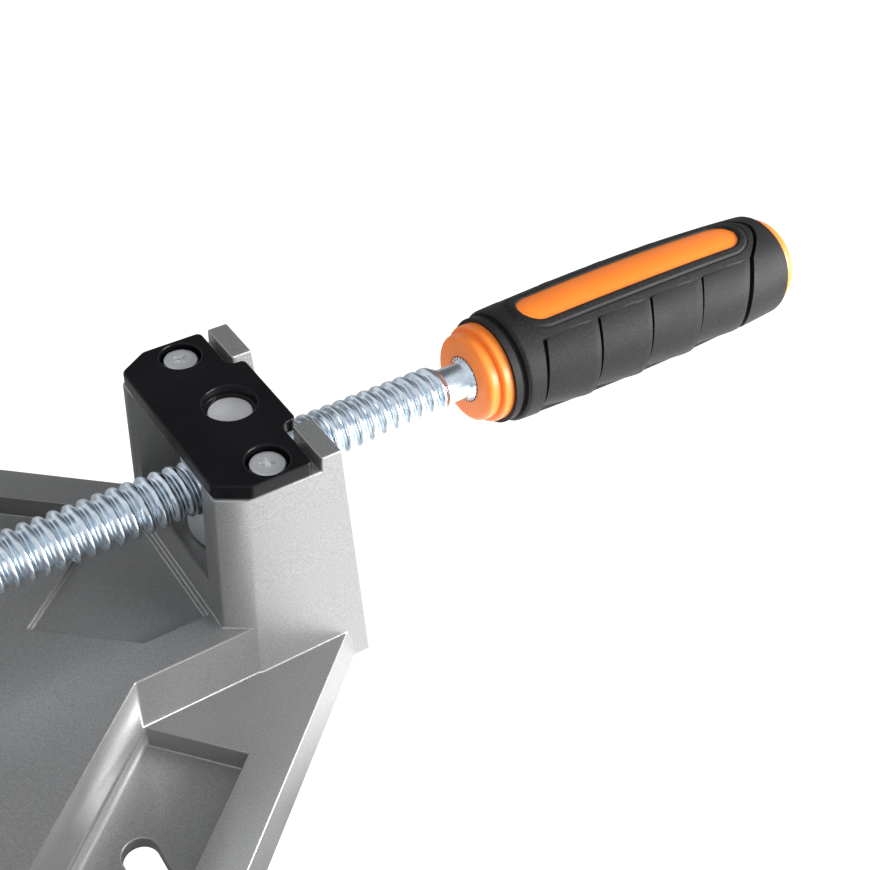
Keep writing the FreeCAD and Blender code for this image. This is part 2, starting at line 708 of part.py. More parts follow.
def make_jaw_plate():
    plate = part_body("jaw_plate", x="corner_to_nut - jaw_reach", z=JAW_TOP)
    outline = plane_sketch(plate, "jaw_plate_outline", "XY_Plane")
    add_loop(outline, both_sides(jaw_plan("jaw_plate_inset")))
    pad(plate, "jaw_plate_pad", outline, "jaw_plate_thickness")
    holes = plane_sketch(plate, "jaw_plate_holes", "XY_Plane", "jaw_plate_thickness")
    add_circle(holes, "0", "0", "block_journal + running_fit")
    for sign in ("", "-"):
        add_circle(holes, "0", f"{sign}jaw_screw_offset", "jaw_screw_radius + screw_play")
    pocket(plate, "jaw_plate_bores", holes, "jaw_plate_thickness", through=True)
    heads = plane_sketch(plate, "jaw_head_recess_outline", "XY_Plane", "jaw_plate_thickness")
    for sign in ("", "-"):
        add_circle(heads, "0", f"{sign}jaw_screw_offset", "jaw_head_radius + screw_play")
    pocket(plate, "jaw_head_recesses", heads, "jaw_head_thickness")
    return plate


def grip_outer(drop="0"):
    """The grip's outer line from front to rear, as (station, radius) pairs."""
    shoulder = f"{GRIP_FRONT} + grip_front_band"
    middle = f"{GRIP_FRONT} + grip_length / 2"
    end = f"{GRIP_REAR} - grip_end_round"
    line = [
        (GRIP_FRONT, f"grip_front_radius - ({drop})"),
        (shoulder, f"grip_front_radius - ({drop})"),
    ]
    for step in range(SWELL_STEPS + 1):
        away = 1 - step / SWELL_STEPS
        line.append((f"{middle} - ({middle} - ({shoulder})) * {away}",
                     f"grip_radius - (grip_radius - grip_shoulder_radius) * {away} ^ 2 - ({drop})"))
    for step in range(1, SWELL_STEPS + 1):
        away = step / SWELL_STEPS
        line.append((f"{middle} + ({end} - ({middle})) * {away}",
                     f"grip_radius - (grip_radius - grip_end_radius) * {away} ^ 2 - ({drop})"))
    line.append((GRIP_REAR, f"grip_end_radius - grip_end_round - ({drop})"))
    return line


def make_handle():
    front, rear = GRIP_FRONT, GRIP_REAR
    window_rear = f"{rear} - window_end_gap"
    place = "corner_to_nut + handle_front"
    core = part_body("handle_core", x=place, z="spindle_height")
    bore = "spline_radius + overmould_gap"
    revolve(core, "core_turning", [[
        ("0", bore), ("0", "flange_radius - ring_edge"), ("ring_edge", "flange_radius"),
        ("flange_length", "flange_radius"), ("flange_length", "collar_radius - ring_edge"),
        ("flange_length + ring_edge", "collar_radius"),
        (front, "collar_radius"), (front, "core_radius"), (rear, "core_radius"),
        (rear, "cap_plug_radius + overmould_gap"),
        (f"{rear} - cap_plug_length - ring_edge", "cap_plug_radius + overmould_gap"),
        (f"{rear} - cap_plug_length - ring_edge", "0"), ("spline_length + ring_edge", "0"),
        ("spline_length + ring_edge", bore),
    ]])
    island = plane_sketch(core, "island_outline", "XY_Plane", "spline_radius + overcut")
    add_slot(island, [("window_front + window_radius", "0"), (f"{window_rear} - window_radius", "0")],
             "window_radius - overmould_gap", "X")
    pad(core, "island", island, "grip_radius - spline_radius")
    above = "grip_radius + 2 * overcut"
    revolve(core, "island_crown", [grip_outer("island_drop") + [(rear, above), (front, above)]], cut=True)

    grip = part_body("handle_grip", x=place, z="spindle_height")
    inner = "core_radius + overmould_gap"
    revolve(grip, "grip_turning", [grip_outer() + [(rear, inner), (front, inner)]])
    window = plane_sketch(grip, "grip_window_outline", "XY_Plane", "grip_radius + overcut")
    add_slot(window, [("window_front + window_radius", "0"), (f"{window_rear} - window_radius", "0")],
             "window_radius", "X")
    pocket(grip, "grip_window", window, "grip_radius + overcut")
    bottom = "grip_end_radius - groove_depth"
    loops = []
    for number in range(GROOVE_COUNT):
        station = f"groove_first + groove_pitch * {number}"
        low = f"{station} - groove_width / 2"
        high = f"{station} + groove_width / 2"
        loop = rectangle(low, high, bottom, "grip_radius + overcut")
        if number < GROOVE_COUNT - 1:
            ramp = [(high, "grip_radius - finger_step"), (f"{high} + finger_ramp", "grip_radius"),
                    (f"{high} + finger_ramp", "grip_radius + overcut")]
            loop = loop[:2] + ramp + loop[3:]
        loops.append(loop)
    cut = revolve(grip, "finger_grooves", loops, angle="groove_arc", cut=True, midplane=True)
    mirror_y(grip, "finger_grooves_far_side", [cut])

    cap = part_body("handle_cap", x=place, z="spindle_height")
    plug = "cap_plug_radius"
    dome = [(f"{rear} + cap_length * sin({angle})", f"cap_rim * sqrt(cos({angle}))")
            for angle in DOME_ANGLES]
    revolve(cap, "cap_turning", [[
        (f"{rear} - cap_plug_length", "0"), (f"{rear} - cap_plug_length", plug),
        (rear, plug), (rear, "cap_rim"), *dome, (f"{rear} + cap_length", "0"),
    ]])


casting = make_body()
finish_body(casting)
make_cover_plate()
make_screws("cover_screws", "corner_to_nut",
            "tower_top + plate_thickness - head_sink - head_thickness", "-screw_ahead", "screw_offset",
            "screw_radius", "screw_length", "head_radius", "head_thickness")
make_nut()
make_spindle()
make_ring("thrust_washer", "-jaw_reach + block_flat + end_play / 2", "nose_radius + running_fit",
          "washer_radius", "washer_thickness", away=False)
make_ring("nose_clip", "-jaw_reach - block_flat - end_play", "nose_radius - clip_depth + clip_fit",
          "clip_radius", "clip_thickness", away=True)
make_block()
finish_jaw(make_jaw())
make_jaw_plate()
make_screws("jaw_plate_screws", "corner_to_nut - jaw_reach",
            f"{JAW_TOP} + jaw_plate_thickness - jaw_head_thickness", "0", "jaw_screw_offset",
            "jaw_screw_radius", "jaw_screw_length", "jaw_head_radius", "jaw_head_thickness")
make_handle()
doc.recompute()

for item in doc.Objects:
    if "Invalid" in item.State or "Error" in item.State:
        raise RuntimeError(f"{item.Name} failed: {item.State}")
os.makedirs("parts", exist_ok=True)
for body in parts:
    if body.Shape.isNull() or not body.Shape.isValid():
        raise RuntimeError(f"{body.Label} has no sound shape")
for body in parts:
    body.Shape.exportStep(f"parts/{body.Label}.step")
    print(body.Label, len(body.Shape.Solids), round(body.Shape.Volume), body.Shape.BoundBox)
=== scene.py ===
"""Corner clamp: the look of each piece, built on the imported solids.

Sizes in the making are millimetres, turned into metres when a piece is finished. The spindle's
line runs along +X through the nut, which stands over the row's x = 164 mm.
"""
import math
import bmesh
import bpy
from mathutils import Matrix, Vector


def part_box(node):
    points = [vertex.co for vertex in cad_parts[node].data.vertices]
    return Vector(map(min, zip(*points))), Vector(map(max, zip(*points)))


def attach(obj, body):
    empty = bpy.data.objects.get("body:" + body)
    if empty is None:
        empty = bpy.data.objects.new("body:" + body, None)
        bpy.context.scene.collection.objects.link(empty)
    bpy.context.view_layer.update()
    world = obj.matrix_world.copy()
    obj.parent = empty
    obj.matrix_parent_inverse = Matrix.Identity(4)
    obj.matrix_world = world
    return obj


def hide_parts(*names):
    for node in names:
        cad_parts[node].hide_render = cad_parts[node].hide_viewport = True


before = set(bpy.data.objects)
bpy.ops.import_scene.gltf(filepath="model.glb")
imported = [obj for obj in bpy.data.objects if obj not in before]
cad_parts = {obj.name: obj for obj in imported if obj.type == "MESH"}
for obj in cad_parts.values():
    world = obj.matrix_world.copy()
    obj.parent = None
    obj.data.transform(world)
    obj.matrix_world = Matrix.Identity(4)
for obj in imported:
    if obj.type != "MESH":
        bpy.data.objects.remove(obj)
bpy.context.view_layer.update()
MM = 0.001
NUT = Vector((164.0, 0.0, 52.0))
PITCH = 3.73
NOSE_LENGTH = 19.5
# The spindle, along its line from the nut: where the thread ends, its crest and its depth, and
# the share of a turn by which its start is shifted
THREAD_END, CREST, THREAD_DEPTH = 62.0, 7.0, 1.45
THREAD_STEPS, THREAD_PHASE = 40, 0.76
# Where the handle starts, behind the nut
HANDLE_START = 70.0
BEVEL_STEPS, BEVEL_FROM_ANGLE = 3, math.radians(35.0)


# Shared finish effects
def new_group(name, inputs, outputs):
    group = bpy.data.node_groups.new(name, "ShaderNodeTree")
    for label, start in inputs:
        socket = group.interface.new_socket(name=label, in_out="INPUT", socket_type="NodeSocketFloat")
        socket.default_value = start
    for label, kind in outputs:
        group.interface.new_socket(name=label, in_out="OUTPUT", socket_type=kind)
    entry = group.nodes.new("NodeGroupInput")
    leave = group.nodes.new("NodeGroupOutput")
    return group, entry, leave


def noise(tree, vector, scale, detail, roughness):
    node = tree.nodes.new("ShaderNodeTexNoise")
    node.inputs["Detail"].default_value = detail
    node.inputs["Roughness"].default_value = roughness
    tree.links.new(vector, node.inputs["Vector"])
    tree.links.new(scale, node.inputs["Scale"])
    return node.outputs["Fac"]


def span(tree, value, low, high, to_low=0.0, to_high=1.0):
    node = tree.nodes.new("ShaderNodeMapRange")
    tree.links.new(value, node.inputs["Value"])
    for label, number in (("From Min", low), ("From Max", high), ("To Min", to_low), ("To Max", to_high)):
        node.inputs[label].default_value = number
    return node.outputs["Result"]


def blend(tree, amount, low, high):
    node = tree.nodes.new("ShaderNodeMix")
    node.data_type = "RGBA"
    tree.links.new(amount, node.inputs["Factor"])
    for socket, colour in ((node.inputs["A"], low), (node.inputs["B"], high)):
        if hasattr(colour, "links"):
            tree.links.new(colour, socket)
        else:
            socket.default_value = (*colour, 1.0)
    return node.outputs["Result"]


def make_fine_grain():
    """Fine grain of a surface: how strong it is here, and the normal that it gives."""
    group, entry, leave = new_group(
        "fine_grain",
        [("Size", 2000.0), ("Depth", 0.2)],
        [("Grain", "NodeSocketFloat"), ("Normal", "NodeSocketVector")])
    place = group.nodes.new("ShaderNodeTexCoord")
    grain = noise(group, place.outputs["Object"], entry.outputs["Size"], detail=3.0, roughness=0.7)
    bump = group.nodes.new("ShaderNodeBump")
    bump.inputs["Distance"].default_value = 0.0002
    group.links.new(grain, bump.inputs["Height"])
    group.links.new(entry.outputs["Depth"], bump.inputs["Strength"])
    group.links.new(grain, leave.inputs["Grain"])
    group.links.new(bump.outputs["Normal"], leave.inputs["Normal"])
    return group


def make_soft_clouds():
    """Broad uneven patches over a surface, from 0 to 1."""
    group, entry, leave = new_group(
        "soft_clouds", [("Size", 60.0)], [("Patch", "NodeSocketFloat")])
    place = group.nodes.new("ShaderNodeTexCoord")
    patch = noise(group, place.outputs["Object"], entry.outputs["Size"], detail=5.0, roughness=0.6)
    group.links.new(span(group, patch, 0.3, 0.7), leave.inputs["Patch"])
    return group


FINE_GRAIN = make_fine_grain()
SOFT_CLOUDS = make_soft_clouds()


def place_group(tree, group, **values):
    node = tree.nodes.new("ShaderNodeGroup")
    node.node_tree = group
    for label, number in values.items():
        node.inputs[label].default_value = number
    return node


def new_finish(name, **plain):
    """A material with its shader, and the plain values of that shader's own sockets."""
    material = bpy.data.materials.new(name)
    material.use_nodes = True
    shader = material.node_tree.nodes["Principled BSDF"]
    for label, number in plain.items():
        shader.inputs[label.replace("_", " ")].default_value = number
    return material, material.node_tree, shader


def cast_silver_paint():
    material, tree, shader = new_finish("cast_silver_paint", Metallic=0.7)
    grain = place_group(tree, FINE_GRAIN, Size=2600.0, Depth=0.22)
    clouds = place_group(tree, SOFT_CLOUDS, Size=35.0)
    tone = blend(tree, span(tree, grain.outputs["Grain"], 0.35, 0.65),
                 (0.26, 0.26, 0.257), (0.36, 0.36, 0.357))
    tree.links.new(tone, shader.inputs["Base Color"])
    tree.links.new(span(tree, clouds.outputs["Patch"], 0, 1, 0.33, 0.40), shader.inputs["Roughness"])
    tree.links.new(grain.outputs["Normal"], shader.inputs["Normal"])
    return material


def black_gloss_enamel():
    material, tree, shader = new_finish(
        "black_gloss_enamel", Specular_IOR_Level=0.1, Coat_Weight=0.15, Coat_Roughness=0.06)
    grain = place_group(tree, FINE_GRAIN, Size=900.0, Depth=0.05)
    clouds = place_group(tree, SOFT_CLOUDS, Size=50.0)
    tone = blend(tree, clouds.outputs["Patch"], (0.003, 0.003, 0.004), (0.006, 0.006, 0.007))
    tree.links.new(tone, shader.inputs["Base Color"])
    tree.links.new(span(tree, grain.outputs["Grain"], 0.3, 0.7, 0.26, 0.34), shader.inputs["Roughness"])
    tree.links.new(grain.outputs["Normal"], shader.inputs["Normal"])
    return material


def plated_metal(name, low, high, rough_low, rough_high, grain_size, metal=1.0):
    material, tree, shader = new_finish(name, Metallic=metal)
    grain = place_group(tree, FINE_GRAIN, Size=grain_size, Depth=0.12)
    clouds = place_group(tree, SOFT_CLOUDS, Size=260.0)
    tree.links.new(blend(tree, clouds.outputs["Patch"], low, high), shader.inputs["Base Color"])
    tree.links.new(span(tree, clouds.outputs["Patch"], 0, 1, rough_high, rough_low), shader.inputs["Roughness"])
    tree.links.new(grain.outputs["Normal"], shader.inputs["Normal"])
    return material


def orange_plastic():
    material, tree, shader = new_finish("orange_plastic", Subsurface_Weight=0.08, Subsurface_Scale=0.002)
    shader.inputs["Subsurface Radius"].default_value = (1.0, 0.35, 0.1)
    grain = place_group(tree, FINE_GRAIN, Size=1500.0, Depth=0.06)
    clouds = place_group(tree, SOFT_CLOUDS, Size=45.0)
    tone = blend(tree, clouds.outputs["Patch"], (0.95, 0.215, 0.02), (1.0, 0.25, 0.03))
    tree.links.new(tone, shader.inputs["Base Color"])
    tree.links.new(span(tree, grain.outputs["Grain"], 0.3, 0.7, 0.30, 0.38), shader.inputs["Roughness"])
    tree.links.new(grain.outputs["Normal"], shader.inputs["Normal"])
    return material


def charcoal_rubber():
    material, tree, shader = new_finish("charcoal_rubber", Specular_IOR_Level=0.22)
    grain = place_group(tree, FINE_GRAIN, Size=1700.0, Depth=0.35)
    clouds = place_group(tree, SOFT_CLOUDS, Size=90.0)
    tone = blend(tree, clouds.outputs["Patch"], (0.006, 0.006, 0.006), (0.014, 0.0135, 0.0135))
    dusted = blend(tree, span(tree, grain.outputs["Grain"], 0.5, 0.85, 0.0, 0.3),
                   tone, (0.09, 0.088, 0.088))
    tree.links.new(dusted, shader.inputs["Base Color"])
    tree.links.new(span(tree, clouds.outputs["Patch"], 0, 1, 0.52, 0.66), shader.inputs["Roughness"])
    tree.links.new(grain.outputs["Normal"], shader.inputs["Normal"])
    return material


SILVER = cast_silver_paint()
BLACK = black_gloss_enamel()
ZINC = plated_metal("rolled_zinc", (0.48, 0.56, 0.64), (0.76, 0.84, 0.91), 0.16, 0.28, 1600.0)
SCREW_ZINC = plated_metal("screw_zinc", (0.74, 0.76, 0.77), (0.88, 0.89, 0.90), 0.28, 0.40, 2200.0,
                          metal=0.8)
TURNED_STEEL = plated_metal("turned_steel", (0.74, 0.74, 0.75), (0.82, 0.82, 0.83), 0.40, 0.48, 1800.0,
                            metal=0.5)
ORANGE = orange_plastic()
RUBBER = charcoal_rubber()


# Making and finishing a piece
def finished(bm, name, material, body, replaced, sharp=38.0):
    """The bmesh, in millimetres, as a piece that rides on a body and stands for a node."""
    bmesh.ops.scale(bm, vec=(MM, MM, MM), verts=bm.verts)
    mesh = bpy.data.meshes.new(name)
    bm.to_mesh(mesh)
    bm.free()
    mesh.materials.append(material)
    for face in mesh.polygons:
        face.use_smooth = True
    mesh.set_sharp_from_angle(angle=math.radians(sharp))
    piece = bpy.data.objects.new(name, mesh)
    bpy.context.scene.collection.objects.link(piece)
    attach(piece, body)
    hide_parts(replaced)
    return piece


def copy_of_node(node):
    """A merged copy of a node's mesh, in millimetres, with its flat faces whole again."""
    bm = bmesh.new()
    bm.from_mesh(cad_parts[node].data)
    bmesh.ops.scale(bm, vec=(1 / MM, 1 / MM, 1 / MM), verts=bm.verts)
    bmesh.ops.remove_doubles(bm, verts=bm.verts, dist=0.002)
    bmesh.ops.dissolve_limit(bm, angle_limit=math.radians(0.2), verts=bm.verts, edges=bm.edges)
    return bm


def tight_corner(vert):
    """Corners where small steps meet, or that no hand reaches, which stay sharp."""
    beside_step = any(edge.calc_length() < 0.6 for edge in vert.link_edges)
    behind_fence = (abs(vert.co.y) - vert.co.x) / math.sqrt(2) > 8 and vert.co.z < 58
    on_sill = abs(vert.co.z - 38) < 0.5 and vert.co.x < 152
    return beside_step or behind_fence or on_sill


def bevelled_node(node, name, material, body, width, leave=None):
    """A copy of a node with its sharp edges rounded, apart from the corners that are left."""
    bm = copy_of_node(node)
    sharp = [e for e in bm.edges if e.is_manifold and e.calc_face_angle(0.0) > BEVEL_FROM_ANGLE]
    if leave:
        sharp = [e for e in sharp if not any(leave(v) for v in e.verts)]
    bmesh.ops.bevel(bm, geom=sharp, offset=width, segments=BEVEL_STEPS, affect="EDGES",
                    profile=0.5, material=-1, clamp_overlap=False)
    piece = finished(bm, name, material, body, node, sharp=50.0)
    even = piece.modifiers.new("flat_faces_first", "WEIGHTED_NORMAL")
    even.keep_sharp = True
    return piece


def turned(bm, outline, steps):
    """An outline of (station, radius) pairs spun about the X axis."""
    points = [bm.verts.new((x, r, 0.0)) for x, r in outline]
    edges = [bm.edges.new(pair) for pair in zip(points, points[1:])]
    bmesh.ops.spin(bm, geom=points + edges, cent=(0, 0, 0), axis=(1, 0, 0), angle=2 * math.pi,
                   steps=steps, use_merge=True)
    bmesh.ops.remove_doubles(bm, verts=bm.verts, dist=0.001)
    bmesh.ops.recalc_face_normals(bm, faces=bm.faces)


def at_nut(bm):
    bmesh.ops.translate(bm, vec=NUT, verts=bm.verts)
    return bm


def rounded(outline, radius, corners, steps=5):
    """The outline with the numbered corners rounded."""
    result = []
    for i, (x, r) in enumerate(outline):
        if i not in corners:
            result.append((x, r))
            continue
        here = Vector((x, r))
        before = (Vector(outline[i - 1]) - here).normalized() * radius
        after = (Vector(outline[i + 1]) - here).normalized() * radius
        for step in range(steps + 1):
            t = step / steps
            point = here + before * (1 - t) ** 2 + after * t ** 2
            result.append((point.x, point.y))
    return result


# Spindle: rolled thread, shank, serrated end and nose
def make_spindle():
    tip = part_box("spindle")[0].x / MM - NUT.x
    first = tip + NOSE_LENGTH
    shape = [(0.0, 1.0), (0.08, 0.93), (0.16, 0.66), (0.24, 0.32), (0.33, 0.09), (0.42, 0.0),
             (0.58, 0.0), (0.67, 0.09), (0.76, 0.32), (0.84, 0.66), (0.92, 0.93), (1.0, 1.0)]
    bm = bmesh.new()
    turns = int((THREAD_END - first) / PITCH) + 3
    start = THREAD_END + PITCH * THREAD_PHASE - turns * PITCH
    points = [bm.verts.new((start + u * PITCH, 0.0, CREST - d * THREAD_DEPTH)) for u, d in shape]
    edges = [bm.edges.new(pair) for pair in zip(points, points[1:])]
    bmesh.ops.spin(bm, geom=points + edges, cent=(0, 0, 0), axis=(1, 0, 0),
                   dvec=(PITCH / THREAD_STEPS, 0, 0), angle=2 * math.pi * turns,
                   steps=THREAD_STEPS * turns)
    bmesh.ops.remove_doubles(bm, verts=bm.verts, dist=0.01)
    bmesh.ops.recalc_face_normals(bm, faces=bm.faces)
    for station, side in ((first, -1), (THREAD_END, 1)):
        cut = bmesh.ops.bisect_plane(
            bm, geom=bm.verts[:] + bm.edges[:] + bm.faces[:], dist=0.0001,
            plane_co=(station, 0, 0), plane_no=(side, 0, 0), clear_outer=True)
        for vert in bm.verts:
            inside = (station - vert.co.x) * side
            limit = 5.3 + max(0.0, inside) * 0.85
            radius = math.hypot(vert.co.y, vert.co.z)
            if radius > limit:
                vert.co.y *= limit / radius
                vert.co.z *= limit / radius
        rim = [e for e in cut["geom_cut"] if isinstance(e, bmesh.types.BMEdge)]
        bmesh.ops.holes_fill(bm, edges=rim, sides=0)
    shank = [(THREAD_END - 0.5, 0.0), (THREAD_END - 0.5, 5.0), (68.4, 5.0), (69.2, 5.5),
             (70.2, 6.0), (70.2, 0.0)]
    turned(bm, rounded(shank, 0.3, [3]), 64)
    turned(bm, [(first + 0.5, 0.0), (first + 0.5, 4.5), (tip + 0.5, 4.5), (tip, 4.0), (tip, 0.0)], 48)
    teeth(bm, HANDLE_START, HANDLE_START + 2.0, 5.9, 6.58, 28)
    return finished(at_nut(bm), "rolled_spindle", ZINC, "spindle", "spindle", sharp=42.0)


def teeth(bm, front, rear, root, tip, count):
    """A short serrated ring that grips the handle."""
    upright = Matrix.Translation((front, 0, 0)) @ Matrix.Rotation(math.pi / 2, 4, "Y")
    ring = bmesh.ops.create_circle(bm, cap_ends=True, radius=root, segments=count * 2, matrix=upright)
    for i, vert in enumerate(ring["verts"]):
        if i % 2:
            vert.co.y *= tip / root
            vert.co.z *= tip / root
    faces = list({f for v in ring["verts"] for f in v.link_faces})
    grown = bmesh.ops.extrude_face_region(bm, geom=faces)
    moved = [v for v in grown["geom"] if isinstance(v, bmesh.types.BMVert)]
    bmesh.ops.translate(bm, vec=(rear - front, 0, 0), verts=moved)
    bmesh.ops.recalc_face_normals(bm, faces=list({f for v in ring["verts"] + moved for f in v.link_faces}))


# Screws with a cross recess
def screw_head(bm, x, y, top, radius, thickness, shank_radius, shank_length, turn):
    """A round head with a cross recess, standing on its shank."""
    lines = [0.0, 0.14, 0.17, 0.30, 0.48, 0.51, 0.65, 0.82, 1.0]
    before = set(bm.verts)
    bmesh.ops.create_grid(bm, x_segments=16, y_segments=16, size=8.0)
    added = [v for v in bm.verts if v not in before]
    for vert in added:
        u, v = (math.copysign(lines[round(abs(c))], c) for c in vert.co.xy)
        inside = min(abs(u), abs(v)) <= 0.14 and max(abs(u), abs(v)) <= 0.48
        reach = radius * 0.88
        vert.co = (u * math.sqrt(1 - v * v / 2) * reach, v * math.sqrt(1 - u * u / 2) * reach,
                   -0.7 * thickness if inside else 0.0)
    level = [e for e in bm.edges if e.is_boundary and e.verts[0] not in before]
    for next_radius, drop in ((radius * 0.96, 0.10), (radius, 0.34), (radius, thickness),
                              (shank_radius, thickness), (shank_radius, thickness + shank_length)):
        grown = bmesh.ops.extrude_edge_only(bm, edges=level)
        verts = [v for v in grown["geom"] if isinstance(v, bmesh.types.BMVert)]
        here = math.hypot(verts[0].co.x, verts[0].co.y)
        bmesh.ops.scale(bm, vec=(next_radius / here, next_radius / here, 1), verts=verts)
        for vert in verts:
            vert.co.z = -drop
        level = [e for e in grown["geom"] if isinstance(e, bmesh.types.BMEdge)]
    bmesh.ops.contextual_create(bm, geom=level)
    added = [v for v in bm.verts if v not in before]
    bmesh.ops.rotate(bm, cent=(0, 0, 0), matrix=Matrix.Rotation(turn, 3, "Z"), verts=added)
    bmesh.ops.translate(bm, vec=(x, y, top), verts=added)


def make_screw_pair(node, name, body, shank_radius, head_thickness, turns):
    low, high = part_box(node)
    low, high = low / MM, high / MM
    radius = (high.x - low.x) / 2
    middle = (high.x + low.x) / 2
    offset = high.y - radius
    bm = bmesh.new()
    for side, turn in zip((1, -1), turns):
        screw_head(bm, middle, side * offset, high.z, radius, head_thickness, shank_radius,
                   high.z - low.z - head_thickness, turn)
    bmesh.ops.recalc_face_normals(bm, faces=bm.faces)
    return finished(bm, name, SCREW_ZINC, body, node, sharp=35.0)


# Handle
def smooth_step(low, high, value):
    t = min(1.0, max(0.0, (value - low) / (high - low)))
    return t * t * (3 - 2 * t)


# Stations from the handle's front: the finger grooves at the grip's side, and how far each bows rearwards
GRIP_FRONT, GRIP_REAR, GRIP_MIDDLE = 7.0, 110.2, 58.6
GROOVES = [(17.1, 2.2), (35.6, 2.0), (53.8, 2.6), (72.9, 3.2), (91.8, 4.2)]
GROOVE_DEPTH = 2.6
# How deep a panel starts behind its groove, and the length over which it rises again
PANEL_DEPTH, PANEL_FADE = 1.5, 15.0
WINDOW_FRONT, WINDOW_REAR, WINDOW_HALF = 17.8, 97.0, 5.7
# Radius of the underside of the window's island, just under the floor of the grip's recess
ISLAND_FLOOR = 13.8
RECESS_FLOOR = 14.0
# The radius at which widths across the window are measured, and how far the island reaches past it
ACROSS_RADIUS = 17.2
ISLAND_REACH = 0.3


def swell(s):
    """The grip's smooth outer radius."""
    if s < GRIP_MIDDLE:
        return 17.4 - 1.2 * ((GRIP_MIDDLE - s) / (GRIP_MIDDLE - 10.7)) ** 2
    return 17.4 - 1.9 * ((s - GRIP_MIDDLE) / (GRIP_REAR - GRIP_MIDDLE)) ** 2


def bow(row, side):
    """How far a row of the grip lies rearwards of its place at the side."""
    stations = [(10.7, 0.0)] + GROOVES + [(GRIP_REAR - 1.4, 0.0)]
    amount = 0.0
    for (s0, a0), (s1, a1) in zip(stations, stations[1:]):
        if s0 <= row <= s1:
            amount = a0 + (a1 - a0) * (row - s0) / (s1 - s0)
    if side < 38:
        return amount * (1 + 1.9 * math.sin(math.radians(90 * (38 - side) / 38)))
    return amount * min(1.0, ((side - 90) / 52) ** 2)


def window_distance(s, across):
    """How far a point of the grip lies outside the window's edge, less than nought inside."""
    nearest = min(max(s, WINDOW_FRONT + WINDOW_HALF), WINDOW_REAR - WINDOW_HALF)
    return math.hypot(s - nearest, across) - WINDOW_HALF


def grip_radius(row, s, side):
    """The grip's radius at a row, its station there and its angle from the top in degrees."""
    if s < 9.15:
        radius = 15.2
    elif s < 10.65:
        radius = 14.4
    elif s < 11.5:
        radius = swell(s) - 0.5 * (1 - smooth_step(10.65, 11.5, s))
    else:
        radius = swell(s) - 1.4 * smooth_step(GRIP_REAR - 2.2, GRIP_REAR, s) ** 1.5
    lower = smooth_step(37.3, 38.3, side) * (1 - smooth_step(141.6, 143.6, side))
    for number, (centre, amount) in enumerate(GROOVES):
        last = number == len(GROOVES) - 1
        behind = row - centre - 0.95
        if not last and 0 <= behind < PANEL_FADE:
            radius -= PANEL_DEPTH * (1 - behind / PANEL_FADE) * lower
        if abs(row - centre) <= 0.98:
            radius -= GROOVE_DEPTH * ((1 - smooth_step(141.6, 143.6, side)) if last else lower)
    away = window_distance(s, math.radians(side) * ACROSS_RADIUS)
    if away < 3.4:
        radius += 0.25 * smooth_step(3.4, 2.4, away) * smooth_step(0.0, 0.9, away)
        radius -= 0.3 * smooth_step(0.6, 0.0, abs(away - 2.9))
    if away < 0.0:
        radius = min(radius, RECESS_FLOOR)
    elif away < 0.9:
        radius -= 0.9 * (1 - math.sqrt(1 - (1 - away / 0.9) ** 2))
    return radius


def make_grip():
    """A tube spun in a fine part on top and a coarser one below, whose rows then follow the grooves."""
    rows = [GRIP_FRONT, 7.4, 8.8, 9.12, 9.18, 9.4, 10.4, 10.62, 10.68, 10.8, 11.0, 11.2, 11.5]
    rows += [12.0 + 0.4 * i for i in range(245)]
    rows += [g + d for g, _ in GROOVES for d in (-1.0, -0.95, 0.95, 1.0)] + [GRIP_REAR]
    rows = [r for r in sorted(set(rows)) if r <= GRIP_REAR]
    bm = bmesh.new()
    points = [bm.verts.new((r, 0.0, 17.0)) for r in rows]
    edges = [bm.edges.new(pair) for pair in zip(points, points[1:])]
    bmesh.ops.rotate(bm, cent=(0, 0, 0), matrix=Matrix.Rotation(math.radians(-46), 3, "X"), verts=points)
    fine = bmesh.ops.spin(bm, geom=points + edges, cent=(0, 0, 0), axis=(1, 0, 0),
                          angle=math.radians(92), steps=132)
    bmesh.ops.spin(bm, geom=fine["geom_last"], cent=(0, 0, 0), axis=(1, 0, 0),
                   angle=math.radians(268), steps=120)
    bmesh.ops.remove_doubles(bm, verts=bm.verts, dist=0.001)
    for vert in bm.verts:
        row = vert.co.x
        turn = math.atan2(vert.co.y, vert.co.z)
        side = abs(math.degrees(turn))
        station = row + bow(row, side)
        radius = grip_radius(row, station, side)
        vert.co = (station, radius * math.sin(turn), radius * math.cos(turn))
    for end in (GRIP_FRONT, GRIP_REAR):
        rim = [e for e in bm.edges if e.is_boundary and abs(e.verts[0].co.x - end) < 0.01]
        grown = bmesh.ops.extrude_edge_only(bm, edges=rim)
        inner = [v for v in grown["geom"] if isinstance(v, bmesh.types.BMVert)]
        bmesh.ops.scale(bm, vec=(1, 0.9, 0.9), verts=inner)
        bmesh.ops.contextual_create(bm, geom=[e for e in grown["geom"] if isinstance(e, bmesh.types.BMEdge)])
    bmesh.ops.recalc_face_normals(bm, faces=bm.faces)
    bmesh.ops.translate(bm, vec=(HANDLE_START, 0, 0), verts=bm.verts)
    return finished(at_nut(bm), "rubber_grip", RUBBER, "spindle", "handle_grip", sharp=42.0)


